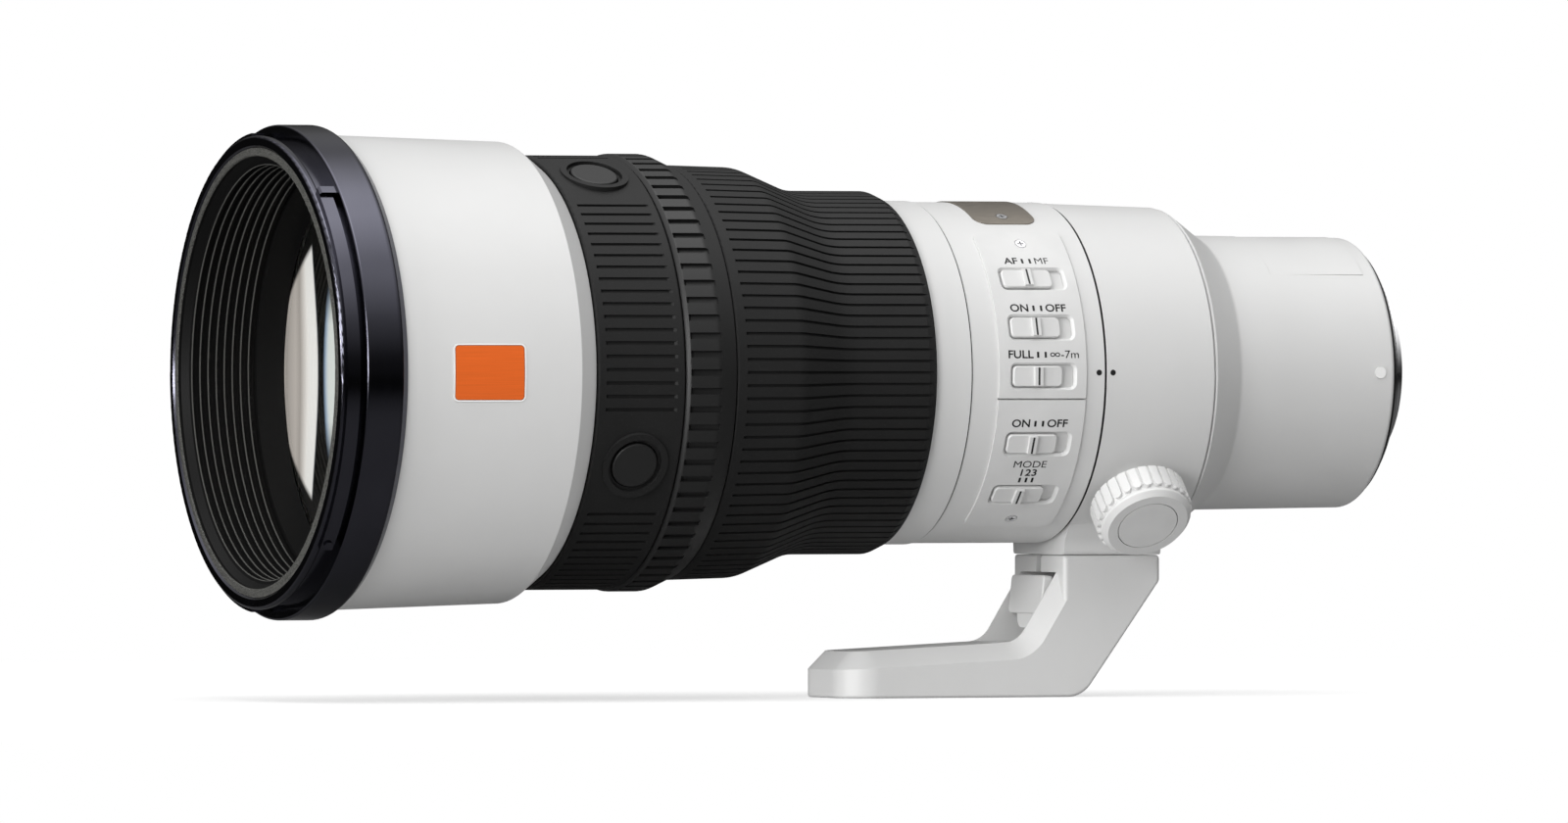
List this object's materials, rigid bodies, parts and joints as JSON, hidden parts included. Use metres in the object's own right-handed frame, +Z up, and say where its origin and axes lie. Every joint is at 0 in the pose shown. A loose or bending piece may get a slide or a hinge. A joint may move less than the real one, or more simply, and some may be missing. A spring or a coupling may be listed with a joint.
{
  "type": "super telephoto lens",
  "caption": "Long white camera lens with a ribbed focus ring, slide switches, a turning tripod collar with a foot and a rear bayonet.",
  "frame": {"origin": "mouth of the large tripod socket in the foot's sole, in the middle plane", "axes": "+X along the optical axis towards the camera, +Z up from the sole, the switches on the -Y side"},
  "size_m": [0.3078, 0.1248, 0.1452],
  "materials": {
    "front_black": "satin",
    "baffle_black": "matte",
    "lens_glass": "polished",
    "white_shell": "satin",
    "white_paint": "satin",
    "white_plastic": "satin",
    "orange_plate": "satin",
    "bare_aluminium": "satin",
    "black_rubber": "matte",
    "black_metal": "satin",
    "bronze_plate": "satin",
    "steel": "satin",
    "chrome": "polished",
    "board_green": "satin",
    "unit_black": "matte",
    "black_plastic": "satin",
    "gold": "polished",
    "magnet": "satin"
  },
  "bodies": {
    "barrel": {"hood_mount_ring": "front_black", "front_baffle": "baffle_black", "front_element": "lens_glass", "front_cell": "black_plastic", "front_barrel": "white_shell", "badge_plate": "orange_plate", "main_tube": "bare_aluminium", "second_element": "lens_glass", "third_element": "lens_glass", "hold_grip": "black_rubber", "trim_ring": "white_paint", "switch_barrel": "white_paint", "upper_switch_plate": "white_plastic", "lower_switch_plate": "white_plastic", "panel_screws": "steel", "name_plate": "bronze_plate", "circuit_board": "board_green", "rear_barrel": "white_paint", "filter_guide": "unit_black", "mount_index_bead": "white_plastic", "mount_gasket": "black_rubber", "mount_flange": "chrome", "mount_screws": "steel", "rear_baffle": "black_metal", "contact_block": "black_plastic", "contact_pins": "gold", "rear_element": "lens_glass", "guide_rods": "steel", "focus_magnets": "magnet", "aperture_unit": "unit_black", "stabiliser_base": "unit_black"},
    "focus_ring": {"focus_ring_sleeve": "black_plastic", "focus_grip": "black_rubber"},
    "function_ring": {"function_ring": "black_plastic"},
    "collar": {"collar_ring": "white_paint"},
    "lock_knob": {"collar_lock_knob": "white_plastic", "lock_knob_cap": "white_plastic", "lock_stud": "steel"},
    "foot": {"foot": "white_paint", "lever_pin": "steel", "large_thread_insert": "steel", "small_thread_insert": "steel"},
    "foot_lever": {"foot_lever": "white_paint"},
    "filter": {"filter_holder": "white_paint", "filter_glass": "lens_glass"},
    "focus_group": {"focus_carriage": "black_metal", "focus_element": "lens_glass"},
    "stabiliser_slide": {"stabiliser_cross_slide": "black_metal"},
    "stabiliser_lens": {"stabiliser_lens_holder": "black_metal", "stabiliser_element": "lens_glass"},
    "hold_button_1": {"hold_button_1": "black_plastic"},
    "hold_button_2": {"hold_button_2": "black_plastic"},
    "hold_button_3": {"hold_button_3": "black_plastic"},
    "hold_button_4": {"hold_button_4": "black_plastic"},
    "focus_mode_switch": {"focus_mode_switch": "white_plastic"},
    "manual_override_switch": {"manual_override_switch": "white_plastic"},
    "focus_range_switch": {"focus_range_switch": "white_plastic"},
    "stabiliser_switch": {"stabiliser_switch": "white_plastic"},
    "stabiliser_mode_switch": {"stabiliser_mode_switch": "white_plastic"}
  },
  "joints": [
    {"name": "focus_ring_turn", "type": "hinge", "parent": "barrel", "child": "focus_ring", "pos_m": [0, 0, 0.0828], "axis": [1, 0, 0], "continuous": true},
    {"name": "function_ring_turn", "type": "hinge", "parent": "barrel", "child": "function_ring", "pos_m": [0, 0, 0.0828], "axis": [1, 0, 0], "range_deg": [-8, 8], "stiffness_Nm_per_rad": 0.8},
    {"name": "collar_turn", "type": "hinge", "parent": "barrel", "child": "collar", "pos_m": [0, 0, 0.0828], "axis": [1, 0, 0], "continuous": true},
    {"name": "lock_knob_turn", "type": "hinge", "parent": "collar", "child": "lock_knob", "pos_m": [0.0356, -0.03535, 0.04745], "axis": [0, -0.7071, -0.7071], "range_deg": [0, 270]},
    {"name": "foot_slide", "type": "slide", "parent": "collar", "child": "foot", "axis": [-1, 0, 0], "range_m": [0, 0.03]},
    {"name": "foot_lever_press", "type": "hinge", "parent": "foot", "child": "foot_lever", "pos_m": [0.0314, 0, 0.02575], "axis": [0, -1, 0], "range_deg": [0, 8], "stiffness_Nm_per_rad": 0.4, "springref_deg": -5.73},
    {"name": "filter_lift", "type": "slide", "parent": "barrel", "child": "filter", "axis": [0, 0, 1], "range_m": [0, 0.058]},
    {"name": "focusing", "type": "slide", "parent": "barrel", "child": "focus_group", "axis": [1, 0, 0], "range_m": [-0.008, 0.008]},
    {"name": "stabiliser_sideways", "type": "slide", "parent": "barrel", "child": "stabiliser_slide", "axis": [0, 1, 0], "range_m": [-0.0012, 0.0012], "stiffness_N_per_m": 2500},
    {"name": "stabiliser_upright", "type": "slide", "parent": "stabiliser_slide", "child": "stabiliser_lens", "axis": [0, 0, 1], "range_m": [-0.0012, 0.0012], "stiffness_N_per_m": 2500},
    {"name": "hold_button_1_press", "type": "slide", "parent": "barrel", "child": "hold_button_1", "axis": [0, 0.9063, 0.4226], "range_m": [0, 0.0006], "stiffness_N_per_m": 1000, "springref_m": -0.001},
    {"name": "hold_button_2_press", "type": "slide", "parent": "barrel", "child": "hold_button_2", "axis": [0, 0.4226, -0.9063], "range_m": [0, 0.0006], "stiffness_N_per_m": 1000, "springref_m": -0.001},
    {"name": "hold_button_3_press", "type": "slide", "parent": "barrel", "child": "hold_button_3", "axis": [0, -0.9063, -0.4226], "range_m": [0, 0.0006], "stiffness_N_per_m": 1000, "springref_m": -0.001},
    {"name": "hold_button_4_press", "type": "slide", "parent": "barrel", "child": "hold_button_4", "axis": [0, -0.4226, 0.9063], "range_m": [0, 0.0006], "stiffness_N_per_m": 1000, "springref_m": -0.001},
    {"name": "focus_mode_switch_slide", "type": "slide", "parent": "barrel", "child": "focus_mode_switch", "axis": [1, 0, 0], "range_m": [0, 0.0032]},
    {"name": "manual_override_switch_slide", "type": "slide", "parent": "barrel", "child": "manual_override_switch", "axis": [1, 0, 0], "range_m": [0, 0.0032]},
    {"name": "focus_range_switch_slide", "type": "slide", "parent": "barrel", "child": "focus_range_switch", "axis": [1, 0, 0], "range_m": [0, 0.0032]},
    {"name": "stabiliser_switch_slide", "type": "slide", "parent": "barrel", "child": "stabiliser_switch", "axis": [1, 0, 0], "range_m": [0, 0.0032]},
    {"name": "stabiliser_mode_switch_slide", "type": "slide", "parent": "barrel", "child": "stabiliser_mode_switch", "axis": [1, 0, 0], "range_m": [0, 0.0032]}
  ]
}
